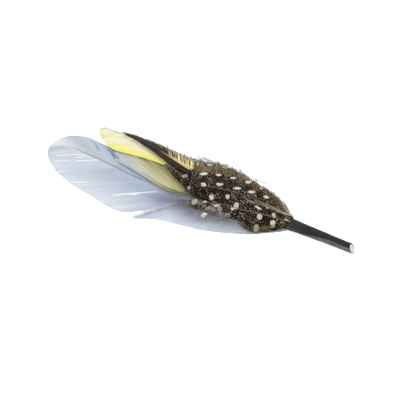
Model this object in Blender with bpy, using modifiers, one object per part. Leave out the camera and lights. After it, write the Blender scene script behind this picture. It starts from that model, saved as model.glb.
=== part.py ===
"""Hat feather mount: feathers of several birds gathered at their quills in a black wrapped stem.

The mount lies on its back. +X runs along it to the cut end of the stem, the feather tips point to -X,
+Y is the side of the yellow feather and +Z is up. Sizes are in millimetres and are turned to metres
where a shape is made.
"""
import math
import random
from dataclasses import dataclass

import bmesh
import bpy
from mathutils import Vector

MM = 0.001
CENTRE = (-1.33, 1.12)          # middle of the mount's outline in the drawing below; it becomes the origin

# Vanes and shafts
VANE_THICKNESS = 0.4
LAYER_PITCH = 1.2               # a feather lies this far above the one that it covers
FLOOR_CLEARANCE = VANE_THICKNESS / 2
SHAFT_SIDES = 6

# Wrapped stem
STEM_MOUTH = Vector((44.1, 2.3, 2.55))
STEM_END = Vector((74.0, 1.1, 1.82))
STEM_RADII = (2.87, 2.38, 2.12) # at the mouth, half way and at the end
WRAP_THICKNESS = 0.3
WRAP_STEP = 0.15                # height of the overlapped seam
WRAP_SIDES = 36
SEAM_ANGLE = math.radians(-120)
CUT_NORMAL = Vector((1.0, 0.25, 0.6)).normalized()
OVERLENGTH = 0.1                # the wrap and the quill are made this much too long and then cut

# Stripped quill of the large blue feather, which fills the stem
QUILL_END_RADIUS = 1.32
QUILL_MOUTH_RADIUS = 0.95
QUILL_NECK = 0.6                # share of its taper that it has half way between mouth and vanes

# Other quills lie round it in the mouth and stop a little way inside
BUNDLE_RADIUS = 1.85
BUNDLE_INNER_RADIUS = 1.7
QUILL_REACH = 5.0
QUILL_BEND = 0.5                # and run straight again this far in front of the mouth
SHAFT_TAPER = 0.45              # radius at a feather's tip over that at its base

# The heap's ridge: distance along, place across, height
RIDGE = ((-78, -1.5, 0.4), (-72, 1.0, 1.0), (-66, 1.8, 1.5), (-58, 1.5, 2.2), (-50, 0.5, 3.0),
         (-40, -1.5, 3.7), (-24, -2.5, 3.9), (0, -0.5, 3.6), (20, 1.5, 3.3), (44, 2.3, 2.9))
NEAR_SLOPE = 0.2
TIP_SLOPE, FAR_SLOPE, DOME_SLOPE = 0.35, 0.2, 0.4
NEAR_ROUNDING, DOME_ROUNDING = 3.0, 6.0
TIP_DROP, DOME_DROP = 2.0, 40.0
TIP_END, FAR_START = -62, -48       # along the heap, the far slope changes between these
DOME_START, DOME_FULL = -30, 0      # and becomes the dome's between these
NEAR_SIDE, FAR_SIDE = -9, 1         # across it, a feather goes from its near rank to its far rank
GATHER_START, GATHER_END = 24, 44   # and the feathers draw together towards the stem here


@dataclass
class Feather:
    """One feather, drawn from above: matching points on its shaft and at the tips of its barbs."""
    colour: tuple
    near_rank: float            # layers below it on the near side, and on the far side
    far_rank: float
    mouth_rise: float           # height above the ridge where it reaches the stem
    bundle_angle: float         # place of its quill round the thick one, from +Y, in degrees
    shaft_radius: float
    cells: tuple                # cells of its vane along and across
    lock_depth: float           # how deep the gaps between locks of barbs cut the edge
    spine: list
    near: list
    far: list


FEATHERS = {
    "blue_feather_large": Feather(
        colour=(0.52, 0.58, 0.70, 1), near_rank=0, far_rank=0, mouth_rise=0, bundle_angle=0,
        shaft_radius=0.55, cells=(36, 8), lock_depth=0.03,
        spine=[(19.5, 0.5), (10.5, -1), (1, -2.5), (-9, -2.5), (-19, -2.6), (-29, -1.9), (-36.5, -1.1),
               (-42, -0.2), (-51.5, 1.2), (-59.5, 2.3), (-67, 3), (-73, 2), (-77, -0.8)],
        near=[(4, -4), (-16, -12), (-29.5, -19.5), (-39, -19.7), (-49.5, -17.2), (-58.5, -15.3),
              (-65, -13), (-69, -11.3), (-72.8, -8.7), (-75.5, -6.3), (-77.2, -4.3), (-77.7, -3.3),
              (-78, -2.2)],
        far=[(13.5, 1.5), (-3.5, 2.5), (-16, 4), (-28, 6.5), (-39, 8), (-48.5, 9.5), (-55, 11),
             (-62.5, 12.2), (-68.5, 11.2), (-72.8, 9.2), (-76, 6), (-77.6, 2.8), (-78, 0)]),
    "blue_feather_small": Feather(
        colour=(0.50, 0.56, 0.68, 1), near_rank=-1.2, far_rank=-1.2, mouth_rise=-1.8, bundle_angle=205,
        shaft_radius=0.3, cells=(20, 4), lock_depth=0.04,
        spine=[(43.6, 1.2), (34, 1), (26, 0.9), (17, 0.2), (9, -1), (1, -3.2), (-6, -6), (-14, -11),
               (-20.5, -16), (-24.5, -19.5)],
        near=[(43, -0.8), (35.5, -5), (26, -9.5), (15.5, -12.8), (5, -15.3), (-4, -16.3),
              (-12.5, -17.3), (-19, -18.8), (-23.5, -20.5), (-26, -21)],
        far=[(42.5, 1.8), (32, 2), (20, 2), (9, 0.5), (0, -1.8), (-8, -5), (-15, -10), (-21, -15.5),
             (-24.5, -18.5), (-26.5, -20.5)]),
    "olive_feather": Feather(
        colour=(0.45, 0.42, 0.22, 1), near_rank=0.2, far_rank=1, mouth_rise=0.3, bundle_angle=27,
        shaft_radius=0.3, cells=(18, 4), lock_depth=0.05,
        spine=[(17, 0.5), (7.5, 0), (-2, -1.5), (-9, -2.1), (-15, -2.1), (-20.5, -1.4), (-26.5, 0.1),
               (-33, 1.4), (-38.5, 2.8), (-42.5, 4.5)],
        near=[(11.5, -1), (1, -2.5), (-7.5, -3.5), (-14.5, -4), (-19.5, -3.5), (-25.5, -1.5),
              (-31.5, 0), (-37.5, 1.5), (-42, 2.5), (-44, 4)],
        far=[(3, 12), (-10.5, 14), (-20, 14.5), (-28, 13.5), (-34.5, 12.5), (-39.5, 11.5),
             (-43, 10.5), (-45.5, 9.5), (-46.5, 8), (-46, 6.5)]),
    "yellow_feather": Feather(
        colour=(0.85, 0.80, 0.30, 1), near_rank=0.4, far_rank=2, mouth_rise=0.9, bundle_angle=-31,
        shaft_radius=0.3, cells=(18, 4), lock_depth=0.05,
        spine=[(8, 4.5), (-6, 8), (-17.5, 12), (-26.5, 14.5), (-33.5, 15.8), (-39, 16.8), (-44.5, 17.5),
               (-50, 17.9), (-55, 18.3), (-58, 18.4)],
        near=[(-2.5, 6), (-16.5, 9.8), (-28.5, 9), (-37.5, 8.2), (-45, 7.6), (-49, 8), (-53, 9.5),
              (-56, 11.5), (-58, 14), (-59.5, 17)],
        far=[(3.5, 6.5), (-10.5, 11), (-22, 14.5), (-31, 17.8), (-37, 19.6), (-43, 20.3), (-48.5, 20.3),
             (-54, 20.7), (-57.5, 20.5), (-59.5, 20)]),
    "guinea_feather_under": Feather(
        colour=(0.05, 0.04, 0.03, 1), near_rank=0.6, far_rank=3, mouth_rise=1.3, bundle_angle=80,
        shaft_radius=0.3, cells=(14, 4), lock_depth=0.1,
        spine=[(17, 1), (7, 1.5), (-1, 3), (-8, 5), (-14.5, 7.5), (-20, 9.5)],
        near=[(7.5, -3.5), (-1, -4), (-7.5, -1.5), (-13, 2), (-18, 5.5), (-22, 8.5)],
        far=[(8, 8), (-2.5, 12), (-9, 13), (-14.5, 12.5), (-19, 12), (-22.5, 10.5)]),
    "dark_feather": Feather(
        colour=(0.10, 0.08, 0.05, 1), near_rank=0.8, far_rank=4, mouth_rise=1.6, bundle_angle=-3,
        shaft_radius=0.3, cells=(24, 4), lock_depth=0.12,
        spine=[(15.5, 4.5), (4.5, 7), (-5, 9.5), (-10.5, 10.5), (-17, 12.3), (-24.5, 14), (-32, 15.2),
               (-39.5, 16.4), (-45, 17.2)],
        near=[(7.5, 3.4), (-2.5, 5.7), (-10.5, 7.3), (-17.5, 8.8), (-23.5, 10.4), (-31, 12.7),
              (-38, 14.9), (-44, 16.4), (-47, 17.1)],
        far=[(7, 17.5), (-3.5, 21), (-12, 20.5), (-17.5, 19.5), (-24, 19.5), (-31, 19.3), (-38, 19),
             (-43.5, 18.4), (-47, 17.9)]),
    "guinea_feather_top": Feather(
        colour=(0.06, 0.05, 0.03, 1), near_rank=1, far_rank=5, mouth_rise=2.15, bundle_angle=53,
        shaft_radius=0.3, cells=(24, 6), lock_depth=0.1,
        spine=[(43.6, 3.4), (37, 4.9), (30, 5.2), (24, 5), (17, 5), (10, 4.5), (4.5, 3.5), (-1, 2),
               (-5, 1.5)],
        near=[(43, 2.8), (31, 0.4), (22, -1.2), (15, -1.8), (8, -2.8), (2, -3.8), (-3.5, -4),
              (-6.5, -3), (-7, -1)],
        far=[(43.6, 4.9), (36.5, 12.2), (25, 16.5), (16, 19.9), (8, 23.3), (0, 22.7), (-6, 18.5),
             (-9.5, 11.5), (-8.5, 5.5)]),
    "guinea_feather_middle": Feather(
        colour=(0.06, 0.05, 0.03, 1), near_rank=2, far_rank=6, mouth_rise=2.8, bundle_angle=115,
        shaft_radius=0.3, cells=(22, 6), lock_depth=0.1,
        spine=[(43.6, 1.8), (36.5, 0.3), (30.5, -1), (24.5, -2), (18.5, -2.5), (12, -3), (5.5, -4.3),
               (1, -5.6), (-3, -7.2)],
        near=[(43, 0.2), (35, -4.7), (28, -7.3), (21.5, -7.3), (14, -7.3), (7.5, -8.6), (2, -8.8),
              (-2.5, -8.4), (-4.8, -7.7)],
        far=[(43, 2.2), (32, 3.6), (24.5, 3.6), (18, 4), (11, 2.3), (4, -0.5), (-1.2, -3),
             (-4, -5.5), (-5, -6.5)]),
    "guinea_feather_bottom": Feather(
        colour=(0.07, 0.06, 0.03, 1), near_rank=0.4, far_rank=4, mouth_rise=0.8, bundle_angle=160,
        shaft_radius=0.3, cells=(16, 4), lock_depth=0.1,
        spine=[(43.6, 1.2), (38.5, -0.8), (34, -2.5), (30.5, -4), (26.5, -5), (23, -5.5)],
        near=[(43, -0.4), (38, -4.4), (33, -7), (28.5, -8.3), (24.5, -7.8), (21, -6.9)],
        far=[(42, 1.4), (35.5, -0.3), (29, -1.5), (24.5, -3), (21.5, -4.3), (20, -6)]),
}


def mix(a, b, t):
    return a + (b - a) * t


def smooth_step(start, end, x):
    t = min(max((x - start) / (end - start), 0.0), 1.0)
    return t * t * (3 - 2 * t)


def along_curve(points, t):
    """Point at t, from 0 to 1, of a smooth curve through the points."""
    place = t * (len(points) - 1)
    i = min(int(place), len(points) - 2)
    f = place - i
    p1, p2 = Vector(points[i]), Vector(points[i + 1])
    p0 = Vector(points[i - 1]) if i > 0 else p1 * 2 - p2
    p3 = Vector(points[i + 2]) if i + 2 < len(points) else p2 * 2 - p1
    return 0.5 * (p1 * 2 + (p2 - p0) * f + (p0 * 2 - p1 * 5 + p2 * 4 - p3) * f ** 2
                  + (p1 * 3 - p0 - p2 * 3 + p3) * f ** 3)


def ridge_at(x):
    """Place across and height of the heap's ridge."""
    x = min(max(x, RIDGE[0][0]), RIDGE[-1][0])
    for start, end in zip(RIDGE, RIDGE[1:]):
        if x <= end[0]:
            t = (x - start[0]) / (end[0] - start[0])
            return mix(start[1], end[1], t), mix(start[2], end[2], t)


def drape(x, y):
    """Height of the lowest layer, which falls away on both sides of the ridge."""
    ridge_y, ridge_z = ridge_at(x)
    across = y - ridge_y
    if across < 0:
        return ridge_z - NEAR_SLOPE * (math.hypot(across, NEAR_ROUNDING) - NEAR_ROUNDING)
    dome = smooth_step(DOME_START, DOME_FULL, x)
    slope = mix(mix(TIP_SLOPE, FAR_SLOPE, smooth_step(TIP_END, FAR_START, x)), DOME_SLOPE, dome)
    rounding = mix(NEAR_ROUNDING, DOME_ROUNDING, dome)
    drop = slope * (math.hypot(across, rounding) - rounding)
    deepest = mix(TIP_DROP, DOME_DROP, dome)
    return ridge_z - deepest * (1 - math.exp(-drop / deepest))


def on_feather(feather, point):
    """The point of a feather above a point of the drawing."""
    x, y = point
    rank = mix(feather.near_rank, feather.far_rank, smooth_step(NEAR_SIDE, FAR_SIDE, y))
    rise = mix(rank * LAYER_PITCH, feather.mouth_rise, smooth_step(GATHER_START, GATHER_END, x))
    return Vector((x, y, max(drape(x, y) + rise, FLOOR_CLEARANCE)))


def to_world(point):
    return Vector((point[0] - CENTRE[0], point[1] - CENTRE[1], point[2])) * MM


def material(name, colour, roughness):
    """A Principled material with one colour."""
    made = bpy.data.materials.new(name)
    made.use_nodes = True
    shader = made.node_tree.nodes["Principled BSDF"]
    shader.inputs["Base Color"].default_value = colour
    shader.inputs["Roughness"].default_value = roughness
    made.diffuse_color = colour
    return made


def into(collection, thing):
    """Moves an object from the scene's own collection to another."""
    for holder in list(thing.users_collection):
        holder.objects.unlink(thing)
    collection.objects.link(thing)
    return thing


def vane(name, feather):
    """Both vanes as one sheet: rows of the grid follow the barbs, columns follow the shaft."""
    along, across = feather.cells
    bpy.ops.mesh.primitive_grid_add(x_subdivisions=along, y_subdivisions=across, size=2)
    sheet = bpy.context.object
    sheet.name = name
    draw = random.Random(name)
    gaps = [[1 - feather.lock_depth * draw.random() * (1 + i % 2) for i in range(along + 1)]
            for _ in range(2)]
    for vertex in sheet.data.vertices:
        u = (vertex.co.x + 1) / 2
        v = vertex.co.y
        root = along_curve(feather.spine, u)
        tip = along_curve(feather.near if v < 0 else feather.far, u)
        reach = abs(v) * (gaps[v > 0][round(u * along)] if abs(v) > 0.9 else 1)
        vertex.co = to_world(on_feather(feather, root.lerp(tip, reach)))
    thickness = sheet.modifiers.new("Thickness", "SOLIDIFY")
    thickness.thickness = VANE_THICKNESS * MM
    thickness.offset = 0
    return sheet


def tube(name, points, radii):
    """A tube through the points, as a closed mesh."""
    curve = bpy.data.curves.new(name, "CURVE")
    curve.dimensions = "3D"
    curve.bevel_depth = MM
    curve.bevel_resolution = (SHAFT_SIDES - 4) // 2
    curve.render_resolution_u = 0
    curve.use_fill_caps = True
    spline = curve.splines.new("POLY")
    spline.points.add(len(points) - 1)
    for at, point, radius in zip(spline.points, points, radii):
        at.co = (*to_world(point), 1)
        at.radius = radius
    drawn = bpy.data.objects.new(name, curve)
    bpy.context.collection.objects.link(drawn)
    evaluated = drawn.evaluated_get(bpy.context.evaluated_depsgraph_get())
    made = bpy.data.objects.new(name, bpy.data.meshes.new_from_object(evaluated))
    made.matrix_world = drawn.matrix_world
    bpy.context.collection.objects.link(made)
    bpy.data.objects.remove(drawn)
    weld_caps(made.data)
    return made


def weld_caps(mesh):
    shape = bmesh.new()
    shape.from_mesh(mesh)
    bmesh.ops.remove_doubles(shape, verts=shape.verts, dist=0.001 * MM)
    bmesh.ops.recalc_face_normals(shape, faces=shape.faces)
    shape.to_mesh(mesh)
    shape.free()


def in_bundle(feather, x, radius):
    """Where a quill lies round the thick one, at a distance along the stem."""
    t = (x - STEM_MOUTH.x) / (STEM_END.x - STEM_MOUTH.x)
    angle = math.radians(feather.bundle_angle)
    return STEM_MOUTH.lerp(STEM_END, t) + Vector((0, math.cos(angle), math.sin(angle))) * radius


def shaft_route(feather):
    """Points and radii of a quill, from inside the stem to the tip of the feather."""
    steps = feather.cells[0] // 2
    on_vane = [on_feather(feather, along_curve(feather.spine, i / steps)) for i in range(steps)]
    radii = [feather.shaft_radius * mix(1, SHAFT_TAPER, i / steps) for i in range(steps)]
    if feather.bundle_angle:
        in_stem = [in_bundle(feather, STEM_MOUTH.x + QUILL_REACH, BUNDLE_INNER_RADIUS),
                   in_bundle(feather, STEM_MOUTH.x - QUILL_BEND, BUNDLE_RADIUS)]
        stem_radii = [feather.shaft_radius] * 2
    else:
        past_end = STEM_END + (STEM_END - STEM_MOUTH) * OVERLENGTH
        in_stem = [past_end, STEM_END, STEM_MOUTH, mix(STEM_MOUTH, on_vane[0], 0.5)]
        stem_radii = [QUILL_END_RADIUS, QUILL_END_RADIUS, QUILL_MOUTH_RADIUS,
                      mix(QUILL_MOUTH_RADIUS, feather.shaft_radius, QUILL_NECK)]
    return in_stem + on_vane, stem_radii + radii


def boolean(thing, other, operation):
    change = thing.modifiers.new(operation.capitalize(), "BOOLEAN")
    change.operation = operation
    change.object = other
    return change


def grow_feather(name, feather, parts, helpers):
    """A feather is one solid: its sheet of barbs joined to its shaft."""
    made = into(parts, vane(name, feather))
    shaft = into(helpers, tube(name + "_shaft", *shaft_route(feather)))
    boolean(made, shaft, "UNION")
    made.data.materials.append(material(name + "_barbs", feather.colour, 0.6))
    return made


def cut_in_half(mesh):
    """Adds a ring of corners half way along an upright tube."""
    shape = bmesh.new()
    shape.from_mesh(mesh)
    bmesh.ops.bisect_plane(shape, geom=shape.verts[:] + shape.edges[:] + shape.faces[:],
                           plane_co=(0, 0, 0), plane_no=(0, 0, 1))
    shape.to_mesh(mesh)
    shape.free()


def wrapped_stem(parts):
    """The wrap is an open tapered tube with one overlapped seam, then given its thickness."""
    length = STEM_END.x - STEM_MOUTH.x
    bpy.ops.mesh.primitive_cylinder_add(vertices=WRAP_SIDES, radius=1, depth=2, end_fill_type="NOTHING")
    wrap = into(parts, bpy.context.object)
    wrap.name = "stem_sleeve"
    cut_in_half(wrap.data)
    for vertex in wrap.data.vertices:
        t = (vertex.co.z + 1) / 2
        angle = math.atan2(vertex.co.y, vertex.co.x)
        turn = ((angle - SEAM_ANGLE) / math.tau) % 1
        radius = STEM_RADII[round(t * 2)] + WRAP_STEP * (turn - 1)
        centre = STEM_MOUTH.lerp(STEM_END, t)
        ring = Vector((0, math.cos(angle), math.sin(angle))) * radius
        along = Vector((length * OVERLENGTH * t, 0, 0))
        point = centre + ring + along
        vertex.co = to_world((point.x, point.y, max(point.z, 0)))
    wall = wrap.modifiers.new("Wall", "SOLIDIFY")
    wall.thickness = WRAP_THICKNESS * MM
    wall.offset = -1
    wrap.data.materials.append(material("black_wrap", (0.015, 0.015, 0.016, 1), 0.6))
    return wrap


def slanting_cutter(helpers):
    """A block beyond the stem's end, whose face is the slanting cut."""
    size = 30 * MM
    bpy.ops.mesh.primitive_cube_add(size=size)
    block = into(helpers, bpy.context.object)
    block.name = "slanting_cut"
    block.rotation_mode = "QUATERNION"
    block.rotation_quaternion = CUT_NORMAL.to_track_quat("X", "Z")
    block.location = to_world(STEM_END) + CUT_NORMAL * size / 2
    return block


def main():
    for thing in list(bpy.data.objects):
        bpy.data.objects.remove(thing)
    parts = bpy.data.collections.new("hat_feather_mount")
    helpers = bpy.data.collections.new("cutters_and_shafts")
    bpy.context.scene.collection.children.link(parts)
    bpy.context.scene.collection.children.link(helpers)
    made = {name: grow_feather(name, feather, parts, helpers) for name, feather in FEATHERS.items()}
    wrap = wrapped_stem(parts)
    cut = slanting_cutter(helpers)
    for thing in (wrap, made["blue_feather_large"]):
        boolean(thing, cut, "DIFFERENCE")
    for helper in helpers.objects:
        helper.hide_render = True
        helper.display_type = "WIRE"


main()
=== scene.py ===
"""Hat feather mount: dyed and spotted feathers gathered in a black wrapped stem, lying on a pale floor.

+X runs along the mount to the cut end of the stem, +Y is the side of the yellow feather and +Z is up.
The feathers are drawn from above in millimetres and turned to metres where a mesh is made.
"""
import math
from dataclasses import dataclass

import bpy
import numpy as np
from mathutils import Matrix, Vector


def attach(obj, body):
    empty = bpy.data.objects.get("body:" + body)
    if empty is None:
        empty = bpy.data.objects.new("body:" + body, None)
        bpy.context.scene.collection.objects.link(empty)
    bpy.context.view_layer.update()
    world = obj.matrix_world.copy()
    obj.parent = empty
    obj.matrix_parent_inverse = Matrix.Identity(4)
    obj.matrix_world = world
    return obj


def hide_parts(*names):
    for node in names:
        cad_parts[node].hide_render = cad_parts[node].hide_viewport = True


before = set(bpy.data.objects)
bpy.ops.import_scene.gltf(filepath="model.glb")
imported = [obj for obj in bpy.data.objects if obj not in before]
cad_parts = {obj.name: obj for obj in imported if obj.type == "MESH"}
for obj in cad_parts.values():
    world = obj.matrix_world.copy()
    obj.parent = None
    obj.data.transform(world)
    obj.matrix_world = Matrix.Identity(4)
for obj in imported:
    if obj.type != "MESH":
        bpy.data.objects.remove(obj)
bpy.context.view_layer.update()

bl_info = {
    "name": "Hat Feather Mount",
    "version": (1, 0, 0),
    "blender": (4, 5, 0),
    "location": "View3D > Sidebar > Feather Mount",
    "description": "Grows the feathers of a hat mount barb by barb and wraps their quills",
    "category": "Add Mesh",
}

MM = 0.001
CENTRE = (-1.33, 1.12)      # middle of the mount's outline in the drawing; it becomes the origin
CLEARANCE = 0.2             # no barb comes closer to the floor than this
LAYER_PITCH = 1.2           # a feather lies this far above the one that it covers

# The heap's ridge: distance along, place across, height
RIDGE = np.array(((-78, -1.5, 0.4), (-72, 1.0, 1.0), (-66, 1.8, 1.5), (-58, 1.5, 2.2), (-50, 0.5, 3.0),
                  (-40, -1.5, 3.7), (-24, -2.5, 3.9), (0, -0.5, 3.6), (20, 1.5, 3.3), (44, 2.3, 2.9)))
NEAR_SLOPE = 0.2
TIP_SLOPE, FAR_SLOPE, DOME_SLOPE = 0.35, 0.2, 0.4
NEAR_ROUNDING, DOME_ROUNDING = 3.0, 6.0
TIP_DROP, DOME_DROP = 2.0, 40.0
TIP_END, FAR_START = -62, -48       # along the mount, the far side's fall changes between these
DOME_START, DOME_FULL = -30, 0      # and turns into the dome's between these
NEAR_SIDE, FAR_SIDE = -9, 1         # across the mount, a feather goes from its near to its far rank
GATHER_START, GATHER_END = 24, 44   # and here all of them draw together into the stem

# Wrapped stem
STEM_MOUTH = Vector((44.1, 2.3, 2.55))
STEM_END = Vector((74.0, 1.1, 1.82))
STEM_RADII = (2.87, 2.38, 2.12)     # at the mouth, half way and at the end
WRAP_THICKNESS = 0.18
WRAP_STEP = 0.15                    # height of the overlapped seam
WRAP_TURNS = 1.03                   # the tape goes once round and overlaps itself
SEAM = ((0, 0.2, 0.38, 0.55, 1), (200, 168, 132, 115, 117))     # along the stem, and its edge's turn
WRINKLES = ((31, 3, 0), (57, -2, 1), (13, 5, 2))    # waves along the stem, waves round it, start
WRAP_GRID = (90, 120)               # squares that the tape is bent from, along and round the stem
WRAP_SMOOTH = math.radians(40)      # edges sharper than this stay sharp
CUT_NORMAL = Vector((1.0, 0.15, 0.65)).normalized()
OVERLENGTH = 0.1                    # the wrap and the quill are made this much too long and then cut
FLAT_BELOW = 1.5 * WRAP_THICKNESS   # the tape and the quill are flat at this height, where they lie
QUILL_END_RADIUS, QUILL_MOUTH_RADIUS = 1.86, 0.95
QUILL_SIDES = 28
QUILL_WALL, PITH_DEPTH = 0.16, 0.1
QUILL_OVERLAP = 0.02                # it starts this share of its length before the mouth, inside the shaft
BUNDLE_RADIUS = 1.8                 # the other quills lie this far from the middle of the mouth
QUILL_REACH, QUILL_RUN = 5.0, 0.5   # how far they reach into it, and run straight in front of it

# Barbs
ROOT_SCATTER = 0.25         # share of the room between two barbs
BOW_SCATTER = 0.006
LEAST_PULL = 0.4            # the lock that draws together least does so by this share
EVEN_TIP = (1.02, 0.9)      # from the second of these shares of the shaft on, barbs differ less in length
HALF_WIDTHS = (0.06, 0.7)   # no barb is finer or broader
SHINGLE = 0.025             # within a lock, barbs rise by this much for each mm of shaft
LIFT_SCATTER = 0.03
HIGHLIGHT_STREAK_LIFT = 0.15        # barbs painted white as highlight streaks stand this far out of the vane
LAYER_DROP = 0.12           # a vane's second layer lies this far below its first
BARB_TILT = 0.2             # turn of a barb about its length, in radians

# Shafts and hairs
SHAFT_LIFT = 0.12
SHAFT_END, SHAFT_TAPER = 0.985, 0.3     # share of the drawn line, and the tip's radius over the base's
SHAFT_STATIONS, SHAFT_SIDES = 60, 10
HAIR_STATIONS, HAIR_WAVE, HAIR_TAPER = 11, 0.04, 0.4
HAIR_CURL = (-0.4, 1.4)                 # shares of their bulge that single hairs have
HAIR_WAVES, HAIR_STARTS = 7, 6          # in radians along a hair, and where it may start
TIP_SCATTER = 0.12                      # height of a hair's tip, and turn of a tuft's
FLUFF_STATIONS, FLUFF_HALF_WIDTH = 8, 0.07
FLUFF_ROOTS, FLUFF_TIPS = (-4.5, -2), (-0.4, 0.9)       # along the stem from its mouth
FLUFF_DEPTHS, FLUFF_HEIGHT = (1.6, 2.4), 0.1            # its roots from the axis, its tips over the tape
STEM_SLOPE, STEM_FALL = -0.04, -0.025                   # the axis goes sideways and down for each mm along

# Patterns and the depth of bumps, in mm, and how matt the horny parts are
SPECKLE_GAP, SPECKLE_PATCH = 0.7, 5
DYE_PATCH, RIPPLE, RIPPLE_DEPTH = 8, 0.4, 0.05
HORN_CLOUD = 2
# The last is the size of the painted highlight streaks beside the tape's seam
TAPE_CLOUD, TAPE_DEPTH, SEAM_HIGHLIGHT_STREAK = 1.5, 0.1, 0.6
PAPER_GRAIN = 1.5
SHAFT_ROUGHNESS, HAIR_ROUGHNESS, PITH_ROUGHNESS = 0.4, 0.8, 0.9
HAIR_FADE = (0.2, 0.8)      # shares of a hair between which it changes colour
ALL_ALONG = (2, 3)          # streaks that would fade beyond the shaft's end, at 1, so don't fade

# Which of a feather's materials its barbs, its shaft and the first kind of its hairs have
BARB_SLOT, SHAFT_SLOT, HAIR_SLOT = 0, 1, 2

# Stage
CAMERA_AZIMUTH, CAMERA_ELEVATION = math.radians(22), math.radians(60)
LENS, SENSOR = 100, 36                      # mm
LAMP_PLACE = Vector((-0.35, 0.25, 0.7))     # m
LAMP_WIDTH, LAMP_POWER = 0.5, 1.8           # m, W
SKY_STRENGTH, PAPER_GLOW = 0.95, 0.7
FLOOR_DEPTH = 0.05                          # mm below the mount

# Fluff at the tape's mouth: how many tufts, and between which angles round the quills
FLUFF = {"guinea_feather_top": (170, (-30, 110)), "guinea_feather_middle": (120, (90, 190)),
         "guinea_feather_bottom": (120, (180, 270))}


@dataclass
class Vane:
    """How the barbs on one side of a feather grow."""
    spacing: float          # distance between two barbs on the shaft, in mm
    steps: int              # straight pieces that a barb is bent from
    cover: float = 1.5      # width of a barb over the room that it has
    lock: int = 14          # barbs that cling together
    pull: float = 0.1       # how far the tips of a lock draw together
    ragged: float = 0.03    # how much barbs differ in length
    loose: float = 0.25     # share of its length where a barb is thin and free
    thin: float = 0.35      # its width at the tip over that at the shaft
    lift: float = 0.0       # how far free tips stand up, in mm
    sweep: float = 0.0      # how far barbs lean to the feather's tip
    bow: float = 0.04       # how far they curve outwards
    layers: int = 1         # one over the other where the barbs are downy


@dataclass
class Feather:
    """One feather, drawn from above: matching points on its shaft and at the tips of its barbs."""
    node: str
    kind: str
    near_rank: float        # layers below it on the near side, and on the far side
    far_rank: float
    mouth_rise: float       # height above the ridge where it reaches the stem
    bundle_angle: float     # place of its quill round the thick one, in degrees
    shaft_radius: float
    spine: list
    near: list
    far: list
    near_vane: Vane
    far_vane: Vane


# Vanes whose barbs cling together: the large blue feather's, and two whose barbs lean far to the tip
FIRM = {"lock": 22, "pull": 0.03, "ragged": 0.012, "loose": 0.1, "thin": 0.8, "bow": 0.03}
STREAMING = {"lock": 12, "pull": 0.03, "ragged": 0.03, "loose": 0.2, "thin": 0.5, "bow": 0.02}

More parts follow.
